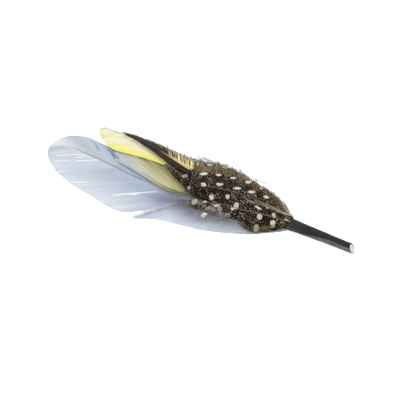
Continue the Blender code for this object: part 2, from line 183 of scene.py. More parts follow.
FEATHERS = (
    Feather("blue_feather_large", "blue", 0, 0, 0, 0, 0.5,
            [(19.5, 0.5), (10.5, -1), (1, -2.5), (-9, -2.5), (-19, -2.6), (-29, -1.9), (-36.5, -1.1),
             (-42, -0.2), (-51.5, 1.2), (-59.5, 2.3), (-65.5, 3.1), (-69.5, 3.2), (-72, 2.8)],
            [(4, -4), (-16, -12), (-29.5, -19.5), (-39, -19.7), (-49.5, -17.2), (-58.5, -15.3),
             (-65, -13), (-69, -11.3), (-72.8, -8.7), (-75.5, -6.3), (-77.2, -4.3), (-78, -2), (-78.1, 0.2)],
            [(13.5, 1.5), (-3.5, 2.5), (-16, 4), (-28, 6.5), (-39, 8), (-48.5, 9.5), (-55, 11),
             (-62.5, 12.2), (-68.5, 11.2), (-72.8, 9.2), (-76, 6), (-77.8, 2.6), (-78.1, 0)],
            Vane(0.26, 14, cover=2.4, sweep=0.08, **FIRM),
            Vane(0.26, 12, cover=2.6, sweep=0.06, **FIRM)),
    Feather("blue_feather_small", "pale_blue", -1.2, -1.2, -1.8, 205, 0.3,
            [(43.6, 1.2), (34, 1), (26, 0.9), (17, 0.2), (9, -1), (1, -3.2), (-6, -6), (-14, -11),
             (-20.5, -16), (-24.5, -19.5)],
            [(43, -0.8), (35.5, -5), (26, -9.5), (15.5, -12.8), (5, -15.3), (-4, -16.3),
             (-12.5, -17.3), (-19, -18.8), (-23.5, -20.5), (-26, -21)],
            [(42.5, 1.8), (32, 2), (20, 2), (9, 0.5), (0, -1.8), (-8, -5), (-15, -10), (-21, -15.5),
             (-24.5, -18.5), (-26.5, -20.5)],
            Vane(0.26, 12, cover=2.2, lock=18, pull=0.05, ragged=0.02, loose=0.1, thin=0.7, sweep=0.1),
            Vane(0.26, 6, cover=2, lock=12, pull=0.1, ragged=0.04, loose=0.2, thin=0.6, sweep=0.1)),
    Feather("olive_feather", "olive", 0.2, 1, 0.3, 27, 0.25,
            [(17, 0.5), (7.5, 0), (-2, -1.5), (-9, -2.1), (-15, -2.1), (-20.5, -1.4), (-26.5, 0.1),
             (-33, 1.4), (-38.5, 2.8), (-42.5, 4.5)],
            [(11.5, -1), (1, -2.5), (-7.5, -3.5), (-14.5, -4), (-19.5, -3.5), (-25.5, -1.5),
             (-31.5, 0), (-37.5, 1.5), (-42, 2.5), (-44, 4)],
            [(3, 12), (-10.5, 14), (-20, 14.5), (-28, 13.5), (-34.5, 12.5), (-39.5, 11.5),
             (-43, 10.5), (-45.5, 9.5), (-46.5, 8), (-46, 6.5)],
            Vane(0.2, 8, cover=2.2, lock=10, pull=0.06, ragged=0.05, loose=0.3, sweep=0.5),
            Vane(0.17, 16, cover=2.8, sweep=0.8, **STREAMING)),
    Feather("yellow_feather", "yellow", 0.4, 2, 0.9, -31, 0.26,
            [(8, 4.5), (-6, 8), (-17.5, 12), (-26.5, 14.5), (-33.5, 15.8), (-39, 16.8), (-44.5, 17.5),
             (-50, 17.9), (-55, 18.3), (-58, 18.4)],
            [(-5, 8), (-17.5, 10.6), (-28, 9.4), (-37.5, 8.3), (-45, 7.6), (-49, 8), (-53, 9.5),
             (-56, 11.5), (-58, 14), (-59.5, 17)],
            [(3.5, 6.5), (-10.5, 11), (-22, 14.5), (-31, 17.8), (-37, 19.6), (-43, 20.3), (-48.5, 20.3),
             (-54, 20.7), (-57.5, 20.5), (-59.5, 20)],
            Vane(0.17, 16, cover=2.8, sweep=0.7, **STREAMING),
            Vane(0.24, 8, cover=1.8, lock=8, pull=0.15, ragged=0.1, loose=0.5, sweep=0.5)),
    Feather("guinea_feather_under", "guinea_inner", 0.6, 3, 1.3, 80, 0.3,
            [(17, 1), (7, 1.5), (-1, 3), (-8, 5), (-14.5, 7.5), (-20, 9.5)],
            [(7.5, -3.5), (-1, -4), (-7.5, -1.5), (-13, 2), (-18, 5.5), (-22, 8.5)],
            [(8, 8), (-2.5, 12), (-9, 13), (-14.5, 12.5), (-19, 12), (-22.5, 10.5)],
            Vane(0.22, 12, cover=1.8, lock=6, pull=0.4, ragged=0.14, loose=0.4, layers=2),
            Vane(0.22, 12, cover=1.8, lock=6, pull=0.4, ragged=0.12, loose=0.4)),
    Feather("dark_feather", "dark", 0.8, 4, 1.6, -3, 0.42,
            [(15.5, 4.5), (4.5, 7), (-5, 9.5), (-10.5, 10.5), (-17, 12.3), (-24.5, 14), (-32, 15.2),
             (-39.5, 16.4), (-45, 17.2)],
            [(7.5, 3.4), (-2.5, 5.7), (-10.5, 7.3), (-17.5, 8.8), (-23.5, 10.4), (-31, 12.7),
             (-38, 14.9), (-44, 16.4), (-47, 17.1)],
            [(9.5, 17), (-0.5, 20), (-9, 19), (-14.5, 18.2), (-20.5, 17.9), (-27.5, 18), (-35.5, 18),
             (-42, 17.9), (-47.5, 17.2)],
            Vane(0.24, 8, cover=2, lock=14, pull=0.05, ragged=0.03, loose=0.1, thin=0.6),
            Vane(0.2, 12, cover=1.6, lock=2, pull=0.35, ragged=0.1, loose=0.45, lift=0.4, layers=2)),
    Feather("guinea_feather_top", "guinea", 1, 5, 2.15, 53, 0.22,
            [(43.6, 3.4), (37, 4.9), (30, 5.2), (24, 5), (17, 5), (10, 4.5), (4.5, 3.5), (-1, 2),
             (-5, 1.5)],
            [(43, 2.8), (31, 0.4), (22, -1.2), (15, -1.8), (8, -2.8), (2, -3.8), (-3.5, -4),
             (-6.5, -3), (-7, -1)],
            [(44.4, 5.2), (37.2, 12.1), (25, 16.2), (16, 19.3), (8, 22.3), (0, 22), (-6, 18.2),
             (-9.5, 11.5), (-8.5, 5.5)],
            Vane(0.22, 10, cover=1.8, lock=8, pull=0.2, ragged=0.06, loose=0.3),
            Vane(0.19, 22, cover=1.9, lock=4, pull=0.35, ragged=0.12, loose=0.25, thin=0.15, lift=0.5,
                 layers=2)),
    Feather("guinea_feather_middle", "guinea_inner", 2, 6, 2.8, 115, 0.22,
            [(43.6, 1.8), (36.5, 0.3), (30.5, -1), (24.5, -2), (18.5, -2.5), (12, -3), (5.5, -4.3),
             (1, -5.6), (-3, -7.5)],
            [(43, 0.2), (35, -4.7), (28, -7.3), (21.5, -7.3), (14, -7.3), (7.5, -8.6), (2, -8.4),
             (-2.5, -8), (-5, -7.3)],
            [(43, 2.2), (32, 3.6), (24.5, 3.6), (18, 4), (11, 2.3), (4, -0.5), (-1.2, -3),
             (-4, -5.5), (-5, -6.5)],
            Vane(0.2, 12, cover=1.8, lock=6, pull=0.35, ragged=0.12, loose=0.4, layers=2),
            Vane(0.22, 12, cover=1.8, lock=8, pull=0.2, ragged=0.06, loose=0.3)),
    Feather("guinea_feather_bottom", "guinea_inner", 0.4, 4, 0.8, 160, 0.22,
            [(43.6, 1.2), (38.5, -0.8), (34, -2.5), (30.5, -4), (26.5, -5), (23, -5.5)],
            [(43, -0.4), (38, -4.4), (33, -7), (28.5, -8.3), (24.5, -7.8), (21, -6.6)],
            [(42, 1.4), (35.5, -0.3), (29, -1.5), (24.5, -3), (21.5, -4.3), (20, -6)],
            Vane(0.2, 12, cover=1.8, lock=6, pull=0.2, ragged=0.04, loose=0.3, layers=2),
            Vane(0.2, 8, cover=1.8, lock=6, pull=0.3, ragged=0.08, loose=0.4)),
)

# White spots of the guinea fowl: x, y, half length, half width and turn in degrees; dull ones are half white
SPOTS = {
    "guinea_feather_top": (
        (-1.7, 16.7, 1.7, 0.85, 25), (5.8, 18.7, 1.7, 0.85, 25), (12.2, 18.9, 1.5, 0.8, 40),
        (-2.1, 9.8, 1.9, 0.85, 38), (4.6, 12.3, 1.55, 0.75, 22), (11.4, 13.4, 1.6, 0.75, 28),
        (18.7, 14.1, 1.5, 0.95, 34), (25.5, 12.9, 1.2, 0.75, 25), (-5.2, -0.8, 0.7, 0.8, 20),
        (0.5, 3.1, 1.25, 1.35, 30), (6.7, 6.4, 1.1, 0.9, -10), (8, 7.1, 0.9, 0.7, 40),
        (15.3, 7.8, 1.7, 0.9, 26), (22.2, 8.6, 1.6, 0.9, 26), (29.1, 9, 1.4, 0.9, 20)),
    "guinea_feather_under": (
        (-9.9, 6.4, 2.1, 0.95, 48),),
    "guinea_feather_middle": (
        (6.4, -1.7, 1.05, 1.2, 20), (13.3, 0.8, 0.95, 1.2, 20), (-0.5, -5.5, 1.5, 1, 40),
        (4.1, -4.2, 1, 0.4, 20), (9.8, -4, 1.5, 0.5, 18), (18.5, -1.6, 1.1, 1.3, 10),
        (17.3, -3.2, 0.8, 0.5, 10), (28.2, 0.9, 1.6, 0.55, -5), (30.2, -2.3, 1.1, 1, 10),
        (35.6, 1.6, 0.7, 0.9, -20), (36.3, 0.7, 0.6, 0.9, -30), (42, 2.1, 0.9, 0.6, 0),
        (31.6, 3.2, 0.8, 0.6, 0), (30.3, -6.4, 1.2, 1.1, 10), (36.6, -2.2, 1.3, 1.1, 0)),
    "guinea_feather_bottom": (
        (30.2, -6.2, 1.2, 1.1, 10), (36.6, -2.2, 1.3, 1.1, 0)),
}
DULL_SPOTS = {
    "guinea_feather_middle": (
        (20.3, 3, 1.6, 0.55, -5), (24, 2.4, 1.9, 0.7, -8), (11.7, -4.8, 1.2, 1.2, 10),
        (16, -5.9, 1.3, 0.8, 30), (15.4, -7.3, 1, 0.6, 20), (40, 3.4, 0.8, 0.5, 0)),
}

# Upper edge of the dyed band on the yellow feather
BAND = np.array((
    (-52, 9.6), (-49.5, 10.8), (-45.3, 11.5), (-41.2, 11.2), (-37.4, 11.5), (-31.5, 12.2), (-26, 12.3),
    (-21.8, 11.8), (-17, 11.5), (-12, 9.5)))

# Painted highlight streaks on the blue feathers, white barbs where light catches them: half width, and x and
# y of both ends
STREAKS = {
    "blue_feather_large": (
        (0.32, -72.7, -3.5, -66.5, -0.8), (0.4, -66.5, -0.8, -61, 1.1), (0.3, -63.8, -1.6, -59.2, 0.6),
        (0.32, -71.7, -5.7, -65.8, -3.7), (0.28, -61.5, -2.7, -51.5, 1),
        (0.3, -68.1, -11.1, -65.4, -10), (0.28, -59.6, -13.6, -52.4, -11.2),
        (0.3, -37.3, -13.4, -20.3, -5.7), (0.5, -46.8, -13.7, -46.2, -13.5),
        (0.65, -29.5, -10.2, -28.5, -9.8), (0.5, -25.3, -16.6, -24.9, -16.4)),
    "blue_feather_small": (
        (0.7, -24, -17.8, -15.8, -11.5), (0.6, -15.8, -11.5, -8.2, -6)),
}

# Hairs that lie loose: how many, the lines that their roots and tips start from, as x and y of both ends,
# their bulge, height over the feather at root and tip, half width, scatter of the tips, and their kind
HAIRS = {
    "blue_feather_large": (
        (4, (-75, -1, -75, -3), (-79, -1, -79, -4), 0.1, (0.1, 0), 0.04, 0.5, "white_hairs"),
        # The next two sets are painted shade: darker hairs laid along two folds of the far vane
        (9, (-54.7, 6.5, -54.7, 6.5), (-60.2, 10.9, -60.2, 10.9), 0.12, (0.15, 0.1), 0.05, 0.4,
         "blue_hairs"),
        (12, (-45.5, 5, -45.5, 5), (-54.3, 11.1, -54.3, 11.1), 0.12, (0.15, 0.1), 0.07, 0.5, "blue_hairs")),
    "blue_feather_small": (
        (26, (-6, -5, -12, -9), (-23, -16, -26, -19), 0.08, (1.5, 0.5), 0.06, 0.5, "bleached_hairs"),
        (30, (2, -7, -8, -7), (-12, -13, -20, -16), 0.1, (1.4, 0.4), 0.05, 0.8, "bleached_hairs"),
        (24, (-8, -6.5, -10, -7.6), (-21.5, -16.4, -24, -18.6), 0.05, (1.7, 0.6), 0.07, 0.3,
         "bleached_hairs")),
    "dark_feather": (
        (200, (-26, 16.5, 6, 17.5), (-29, 19.6, 1.5, 21.6), 0.1, (0.1, 0.5), 0.045, 0.6, "brown_hairs"),
        (70, (-44, 17, -24, 17), (-46, 18, -28, 19.4), 0.1, (0.1, 0.3), 0.04, 0.4, "brown_hairs")),
    "guinea_feather_top": (
        (16, (43.4, 4.8, 42.5, 5.8), (24, 17.5, 31, 16.8), 0.42, (0.3, 0.8), 0.05, 0.5, "white_hairs"),
        (5, (43.4, 4.8, 42.5, 5.8), (26, 16.9, 31, 16.4), 0.42, (0.3, 0.6), 0.03, 0.5, "brown_hairs"),
        (70, (42, 4.5, 36, 10), (24, 13.5, 32, 13.5), 0.12, (0.1, 0.3), 0.045, 0.9, "olive_hairs"),
        (50, (42, 4.5, 36, 10), (24, 14, 32, 14), 0.12, (0.1, 0.3), 0.045, 0.9, "mouth_fluff"),
        (9, (12.5, 18.5, 14, 18.5), (9.8, 23.3, 10.8, 23.6), 0.08, (0.1, 0.6), 0.05, 0.25, "brown_hairs"),
        (150, (-6.5, 19, 29, 15.8), (-9.5, 21.5, 25, 17.8), 0.12, (0.1, 0.6), 0.04, 0.8, "brown_hairs")),
    "guinea_feather_middle": (
        (260, (-5, -4.5, 20, -7), (-24, -8.5, -2, -12.5), 0.2, (-0.2, -2.2), 0.04, 1.8, "grey_down"),
        (170, (-5, -4.5, 18, -7), (-13, -7, 5, -11), 0.3, (0.2, -1.4), 0.045, 1.2, "grey_down"),
        (110, (-4, -5.5, 18, -7), (-13, -8, 5, -11), 0.2, (0.1, -1.4), 0.03, 1.2, "mouth_fluff"),
        (45, (-5, -5, 16, -6), (-13, -6, 8, -11), 0.3, (0.3, -1), 0.035, 1.2, "white_hairs"),
        (60, (0, -6, 20, -6), (-8, -9, 13, -9.5), 0.2, (0.1, -0.3), 0.04, 0.8, "brown_hairs"),
        (20, (8, -5, 18, -5.5), (1, -8, 11, -9.5), 0.2, (0.1, 0), 0.035, 0.8, "white_hairs"),
        (7, (43.4, 5, 43.4, 5), (25.5, 2.7, 25.5, 2.7), 0.03, (0.5, 0.3), 0.06, 0.5, "white_hairs"),
        (16, (4.8, -8, 7, -8.1), (3.8, -10, 5.8, -10.2), 0.1, (0.1, -0.5), 0.13, 0.2, "bleached_hairs")),
    "guinea_feather_bottom": (
        (60, (38, -2, 26, -4.5), (30, -7.5, 20, -7.5), 0.12, (0.1, 0.15), 0.045, 0.8, "olive_hairs"),),
}

# Shafts: material, colours at the stem and at the tip, and the shares of the shaft between which they change
GOOSE_SHAFT = ("goose_shaft", "blue_shaft", "blue_tip", (0.78, 0.95))
DARK_COCK_SHAFT = ("dark_cock_shaft", "olive_shaft", "olive_tip", (0.6, 0.9))
YELLOW_COCK_SHAFT = ("yellow_cock_shaft", "dark_shaft", "dark_tip", (0.5, 0.9))
PHEASANT_SHAFT = ("pheasant_shaft", "pale_shaft", "dark_vane", (0.55, 0.68))
FOWL_SHAFT = ("guinea_fowl_shaft", "brown_shaft", "brown_shaft", (0.4, 0.7))

# Kinds of feathers: the barbs' material and the shaft
KINDS = {
    "blue": ("goose_barbs_dyed_blue", GOOSE_SHAFT),
    "pale_blue": ("goose_barbs_dyed_pale_blue", GOOSE_SHAFT),
    "olive": ("cock_barbs_dyed_olive", DARK_COCK_SHAFT),
    "yellow": ("cock_barbs_dyed_yellow", YELLOW_COCK_SHAFT),
    "dark": ("pheasant_barbs", PHEASANT_SHAFT),
    "guinea": ("guinea_fowl_barbs_with_fringe", FOWL_SHAFT),
    "guinea_inner": ("guinea_fowl_barbs", FOWL_SHAFT),
}

# Kinds of hairs: colours at the root and at the tip. Fold shade hairs are painted shade along folds, and
# highlight hairs painted highlight
HAIR_KINDS = {"grey_down": ("down_dark", "down_grey"), "white_hairs": ("hair_white", "hair_white"),
              "brown_hairs": ("hair_brown", "hair_tan"), "olive_hairs": ("hair_olive", "hair_tan"),
              "mouth_fluff": ("fluff_dark", "fluff_grey"), "blue_hairs": ("blue_shaft", "blue_middle"),
              "bleached_hairs": ("bleached", "bleached")}

# How sharp and how uneven the markings are
SPOT_SCATTER, DULL_WHITEST = 0.45, 1.05
BAND_BLUR = 0.25
# Yellow bars on the dark feather's fringe: they fade between these shares of its locks, a barb and the shaft
BAR_SCATTER, BAR_LOCK_SCATTER = 0.2, 0.3
BAR_LOCKS, BAR_LOCK_ENDS, BAR_ROOTS = (0.4, 0.55), (1, 0.7), (0.45, 0.25)
BAR_START, BAR_LAST = (0.06, 0.14), (0.62, 0.5)

# Colours as sRGB codes, and what they are for
COLOURS = {
    "blue_vane": ("#d0d6e2", "Dyed vane of the blue feathers"),
    "blue_middle": ("#b9c3d0", "Blue feathers in the middle"),
    "blue_base": ("#a3afc4", "Blue feathers near the stem"),
    "blue_tip": ("#e2e4e4", "Blue feathers at their tips"),
    "blue_far": ("#b7bcc3", "Large blue feather beside the yellow one"),
    # Painted light: the near edge of the large blue feather is made lighter against the shade that falls
    # there
    "blue_rim": ("#d6dce4", "Near edge of the large blue feather"),
    # Painted highlight: the white of the streaks and hairs on the blue feathers, light caught along barb
    # edges
    "bleached": ("#eef2f6", "Barbs that the dye didn't take"),
    "olive_base": ("#8f8443", "Olive feather near the stem"),
    "olive_vane": ("#d2d0b3", "Olive feather in the middle"),
    "olive_tip": ("#cfd2d4", "Olive feather at its tip"),
    "olive_streak": ("#ded68e", "Yellow barbs of the olive feather"),
    "cream": ("#f3f0cf", "Yellow feather, undyed part"),
    "cream_streak": ("#fdfcf4", "White barbs of the yellow feather"),
    "yellow": ("#f8f6a8", "Yellow feather, dyed band"),
    "yellow_streak": ("#fbf79b", "Brightest barbs of the dyed band"),
    "dark_vane": ("#463a2f", "Dark feather"),
    "dark_tip": ("#7a7266", "Dark feather at its tip"),
    "fringe_yellow": ("#ece2a4", "Bars on the dark feather's fringe"),
    "guinea_ground": ("#1d150e", "Ground of the guinea fowl feathers"),
    "guinea_speckle": ("#c6b597", "Speckle on the guinea fowl feathers"),
    "guinea_spot": ("#d3c8b8", "Spots of the guinea fowl feathers"),
    "guinea_ring": ("#17110b", "Ring round each spot"),
    "guinea_fringe": ("#a78f69", "Fringe of the guinea fowl feathers"),
    "guinea_tips": ("#e6dcc6", "Tips of the fringe of the guinea fowl feathers"),
    "guinea_downy": ("#7d766e", "Downy ends of the inner guinea fowl feathers"),
    "blue_shaft": ("#8b94a8", "Shaft of the blue feathers"),
    "olive_shaft": ("#5c6650", "Shaft of the olive feather"),
    "dark_shaft": ("#5a5238", "Shaft of the yellow feather"),
    "pale_shaft": ("#dccba2", "Shaft of the dark feather"),
    "brown_shaft": ("#75664f", "Shaft of the spotted feathers"),
    "down_dark": ("#83828b", "Down at its roots"),
    "down_grey": ("#bdc1cf", "Down at its tips"),
    "hair_white": ("#e4ddd0", "Pale loose hairs"),
    "hair_brown": ("#4a3d27", "Brown loose hairs at their roots"),
    "hair_tan": ("#a8946c", "Brown loose hairs at their tips"),
    "hair_olive": ("#8e8146", "Olive loose hairs"),
    "fluff_dark": ("#2a231c", "Fluff at the tape's mouth"),
    "fluff_grey": ("#4b423a", "Tips of that fluff"),
    "wrap_black": ("#101012", "Rubbered tape round the quills"),
    "wrap_violet": ("#1d1a26", "The tape's mouth"),
    # Painted highlight: lighter grey streaks on the tape beside its seam
    "wrap_seam": ("#6a666c", "Scuffed inner turn of the tape beside its edge"),
    "pith": ("#d6d6cd", "Pith in the cut quill"),
    "floor": ("#f4f4f4", "Paper on the floor"),
}

# Sizes in metres, apart from the spots' scale, and what they are
SIZES = {
    "spot_scale": (1.0, "Size of the spots over their size on the real feathers", "NONE"),
    "barb_thickness": (0.14 * MM, "Thickness of a barb", "LENGTH"),
    "wrinkle": (0.07 * MM, "Depth of the wrinkles in the wrap", "LENGTH"),
    "camera_distance": (0.519, "Distance from the camera to the mount", "LENGTH"),
    "floor_size": (8.0, "Side of the floor", "LENGTH"),
}


def linear(code):
    """An sRGB hex colour as linear red, green and blue."""
    parts = [int(code[i:i + 2], 16) / 255 for i in (1, 3, 5)]
    return tuple(c / 12.92 if c <= 0.04045 else ((c + 0.055) / 1.055) ** 2.4 for c in parts)


class MountColours(bpy.types.PropertyGroup):
    """Colours of the mount, as linear values."""
    __annotations__ = {
        name: bpy.props.FloatVectorProperty(
            name=name.replace("_", " ").capitalize(), description=about, default=linear(code),
            subtype="COLOR", min=0, max=1)
        for name, (code, about) in COLOURS.items()}


class MountSizes(bpy.types.PropertyGroup):
    """Sizes of the mount and of its stage, in metres."""
    __annotations__ = {
        name: bpy.props.FloatProperty(
            name=name.replace("_", " ").capitalize(), description=about, default=value, min=0,
            precision=5, unit=unit)
        for name, (value, about, unit) in SIZES.items()}


def colour(name):
    return (*getattr(bpy.context.scene.mount_colours, name), 1)


def size(name):
    return getattr(bpy.context.scene.mount_sizes, name)


# Shape of the heap

def mix(a, b, t):
    return a + (b - a) * t


def smooth_step(start, end, x):
    t = np.clip((x - start) / (end - start), 0, 1)
    return t * t * (3 - 2 * t)


def along_curve(points, t):
    """Points at t, from 0 to 1, of a smooth curve through the points."""
    points = np.asarray(points, float)
    guide = np.vstack([2 * points[0] - points[1], points, 2 * points[-1] - points[-2]])
    place = np.clip(t, 0, 1) * (len(points) - 1)
    i = np.minimum(place.astype(int), len(points) - 2)
    f = (place - i)[..., None]
    p0, p1, p2, p3 = guide[i], guide[i + 1], guide[i + 2], guide[i + 3]
    return 0.5 * (p1 * 2 + (p2 - p0) * f + (p0 * 2 - p1 * 5 + p2 * 4 - p3) * f ** 2
                  + (p1 * 3 - p0 - p2 * 3 + p3) * f ** 3)


def drape(x, y):
    """Height of the lowest layer, which falls away on both sides of the ridge."""
    ridge_y = np.interp(x, RIDGE[:, 0], RIDGE[:, 1])
    ridge_z = np.interp(x, RIDGE[:, 0], RIDGE[:, 2])
    across = y - ridge_y
    near = NEAR_SLOPE * (np.hypot(across, NEAR_ROUNDING) - NEAR_ROUNDING)
    dome = smooth_step(DOME_START, DOME_FULL, x)
    slope = mix(mix(TIP_SLOPE, FAR_SLOPE, smooth_step(TIP_END, FAR_START, x)), DOME_SLOPE, dome)
    rounding = mix(NEAR_ROUNDING, DOME_ROUNDING, dome)
    drop = slope * (np.hypot(across, rounding) - rounding)
    deepest = mix(TIP_DROP, DOME_DROP, dome)
    return ridge_z - np.where(across < 0, near, deepest * (1 - np.exp(-drop / deepest)))


def raised(feather, plan, lift=0.0):
    """Points of a feather above points of the drawing."""
    x, y = plan[..., 0], plan[..., 1]
    rank = mix(feather.near_rank, feather.far_rank, smooth_step(NEAR_SIDE, FAR_SIDE, y))
    rise = mix(rank * LAYER_PITCH, feather.mouth_rise, smooth_step(GATHER_START, GATHER_END, x))
    z = np.maximum(drape(x, y) + rise + lift, CLEARANCE)
    return np.stack([x, y, z], axis=-1)


# Barbs, hairs and shafts

def unit(vectors):
    return vectors / np.maximum(np.linalg.norm(vectors, axis=-1, keepdims=True), 1e-9)


def rods(paths, half, sides=3, flat=1.0, tilt=0.0):
    """Closed rods along paths: their corner points and faces."""
    count, stations = paths.shape[:2]
    along = unit(np.gradient(paths, axis=1))
    level = unit(np.cross((0, 0, 1), along))
    upright = np.cross(along, level)
    across = math.cos(tilt) * level + math.sin(tilt) * upright
    up = math.cos(tilt) * upright - math.sin(tilt) * level
    turn = np.radians(-90 - 180 / sides + np.arange(sides) * 360 / sides)
    flat = np.asarray(flat)[..., None, None] if np.ndim(flat) else flat
    ring = (np.cos(turn)[:, None] * across[:, :, None, :]
            + np.sin(turn)[:, None] * up[:, :, None, :] * flat)
    corners = paths[:, :, None, :] + half[:, :, None, None] * ring
    first = np.arange(count)[:, None, None] * stations * sides
    here = first + (np.arange(stations - 1) * sides)[None, :, None] + np.arange(sides)
    beside = first + (np.arange(stations - 1) * sides)[None, :, None] + (np.arange(sides) + 1) % sides
    walls = np.stack([here, beside, beside + sides, here + sides], axis=-1).reshape(-1, 4)
    start = first[:, 0] + np.arange(sides)[::-1]
    end = first[:, 0] + (stations - 1) * sides + np.arange(sides)
    return corners.reshape(-1, 3), walls.tolist() + start.tolist() + end.tolist()


@dataclass
class Growth:
    """Rods that share a material, with what the material reads at each of their stations."""
    corners: np.ndarray
    faces: list
    slot: int
    mark: np.ndarray        # red: marking, green: differs by barb, blue: differs by lock
    place: np.ndarray       # along the shaft and across it


def growth(paths, half, slot, mark, place, sides=3, **shape):
    corners, faces = rods(paths, half, sides, **shape)
    spread = [np.repeat(v.reshape(-1, v.shape[-1]), sides, axis=0) for v in (mark, place)]
    return Growth(corners, faces, slot, *spread)


def spot_marks(feather, x, y, chance):
    """Distance from the nearest spot over that spot's size, 0 in its middle and 1 from twice its size."""
    nearest = np.full(x.shape, 2.0)
    scale = size("spot_scale") * (1 + SPOT_SCATTER * (chance - 0.5))
    for spots, whitest in ((SPOTS, 0), (DULL_SPOTS, DULL_WHITEST)):
        for at_x, at_y, half_length, half_width, turn in spots.get(feather.node, ()):
            turn = math.radians(turn)
            along = (x - at_x) * math.cos(turn) + (y - at_y) * math.sin(turn)
            across = (y - at_y) * math.cos(turn) - (x - at_x) * math.sin(turn)
            away = np.hypot(along / half_length, across / half_width) / scale
            nearest = np.minimum(nearest, np.maximum(away, whitest))
    return nearest / 2


def streak_marks(feather, x, y):
    """1 on the middle of a painted highlight streak, 0 off it."""
    strongest = np.zeros(x.shape)
    for half_width, start_x, start_y, end_x, end_y in STREAKS[feather.node]:
        run = np.array((end_x - start_x, end_y - start_y))
        t = np.clip(((x - start_x) * run[0] + (y - start_y) * run[1]) / (run @ run), 0, 1)
        away = np.hypot(x - start_x - t * run[0], y - start_y - t * run[1])
        strongest = np.maximum(strongest, 1 - away / half_width)
    return strongest


def band_marks(x, y):
    """1 in the dyed band along the yellow feather's near edge."""
    return smooth_step(BAND_BLUR, -BAND_BLUR, y - np.interp(x, BAND[:, 0], BAND[:, 1]))


def bar_marks(u, v, chance, lock_chance):
    """1 where the dark feather's fringe is yellow: at its roots, and on some locks almost to the tips."""
    out = v + BAR_SCATTER * chance
    yellow = smooth_step(*BAR_LOCKS, lock_chance + BAR_LOCK_SCATTER * (chance - 0.5))
    strongest = np.maximum(yellow * smooth_step(*BAR_LOCK_ENDS, out), smooth_step(*BAR_ROOTS, out))
    return strongest * smooth_step(*BAR_START, v) * smooth_step(*BAR_LAST, u)


def marks(feather, x, y, u, v, chance, lock_chance):
    if feather.kind.startswith("guinea"):
        return spot_marks(feather, x, y, chance)
    if feather.kind in ("blue", "pale_blue"):
        return streak_marks(feather, x, y)
    if feather.kind == "yellow":
        return band_marks(x, y)
    if feather.kind == "dark":
        return bar_marks(u, v, chance, lock_chance)
    return np.zeros(x.shape)


def leaning(vane, u, s):
    """Where on the vane's edge barbs head for: they lean to the feather's tip, the more the further out."""
    return np.clip(u, 0, 1)[:, None] ** (1 / (1 + vane.sweep * s))


def barbs(feather, side, draw, sunk=0.0):
    """All barbs of one layer of one side."""
    vane = feather.far_vane if side > 0 else feather.near_vane
    edge = feather.far if side > 0 else feather.near
    fine = along_curve(feather.spine, np.linspace(0, 1, 200))
    length = np.linalg.norm(np.diff(fine, axis=0), axis=1).sum()
    count = int(length / vane.spacing)
    even = (np.arange(count) + 0.5) / count
    u = even + draw.normal(0, ROOT_SCATTER / count, count)
    lock = np.cumsum(draw.random(count) < 1 / vane.lock)
    middle = (np.bincount(lock, u) / np.maximum(np.bincount(lock), 1))[lock]
    lock_chance = draw.random(lock[-1] + 1)[lock]
    chance = draw.random(count)
    s = np.linspace(0, 1, vane.steps + 1)

    tip_u = u + vane.pull * (LEAST_PULL + lock_chance) * (middle - u)
    slide = leaning(vane, u, s) + (tip_u - u)[:, None] * s ** 3
    reach = 1 - vane.ragged * (draw.random(count) + lock_chance) * smooth_step(*EVEN_TIP, u)
    root = along_curve(feather.spine, u)[:, None, :]
    way = along_curve(edge, slide) - root
    v = reach[:, None] * s
    out = np.stack([way[..., 1], -way[..., 0]], axis=-1) * -side
    wobble = vane.bow + draw.normal(0, BOW_SCATTER, count)
    plan = root + way * v[..., None] + out * (wobble[:, None] * s * (1 - s))[..., None]

    even_root = along_curve(feather.spine, even)[:, None, :]
    even_plan = even_root + (along_curve(edge, leaning(vane, even, s)) - even_root) * s[None, :, None]
    between = np.gradient(even_plan, axis=0)
    line = unit(np.gradient(even_plan, axis=1))
    room = np.abs(between[..., 0] * line[..., 1] - between[..., 1] * line[..., 0])
    free = smooth_step(1 - vane.loose, 1, s)
    thinner = mix(1, vane.thin, free)
    half = np.clip(room * vane.cover / 2, *HALF_WIDTHS) * thinner

    step = (u - middle) * length * SHINGLE
    lift = (step[:, None] * s + draw.normal(0, LIFT_SCATTER, count)[:, None]
            + vane.lift * free * draw.random(count)[:, None] - sunk)
    along, by_barb, by_lock = (np.broadcast_to(a[:, None], v.shape) for a in (u, chance, lock_chance))
    mark = marks(feather, plan[..., 0], plan[..., 1], along, side * v, by_barb, by_lock)
    # Barbs with painted highlight streaks also stand a little out of the vane
    if feather.kind in ("blue", "pale_blue"):
        lift = lift + HIGHLIGHT_STREAK_LIFT * mark
    paths = raised(feather, plan, lift)
    flat = size("barb_thickness") / MM / 2 / np.maximum(half, HALF_WIDTHS[0] / 2)
    looks = np.stack([mark, by_barb, by_lock], axis=-1)
    place = np.stack([along, 0.5 + side * v / 2], axis=-1)
    return growth(paths, half, BARB_SLOT, looks, place, flat=np.minimum(flat, 1.0), tilt=side * BARB_TILT)


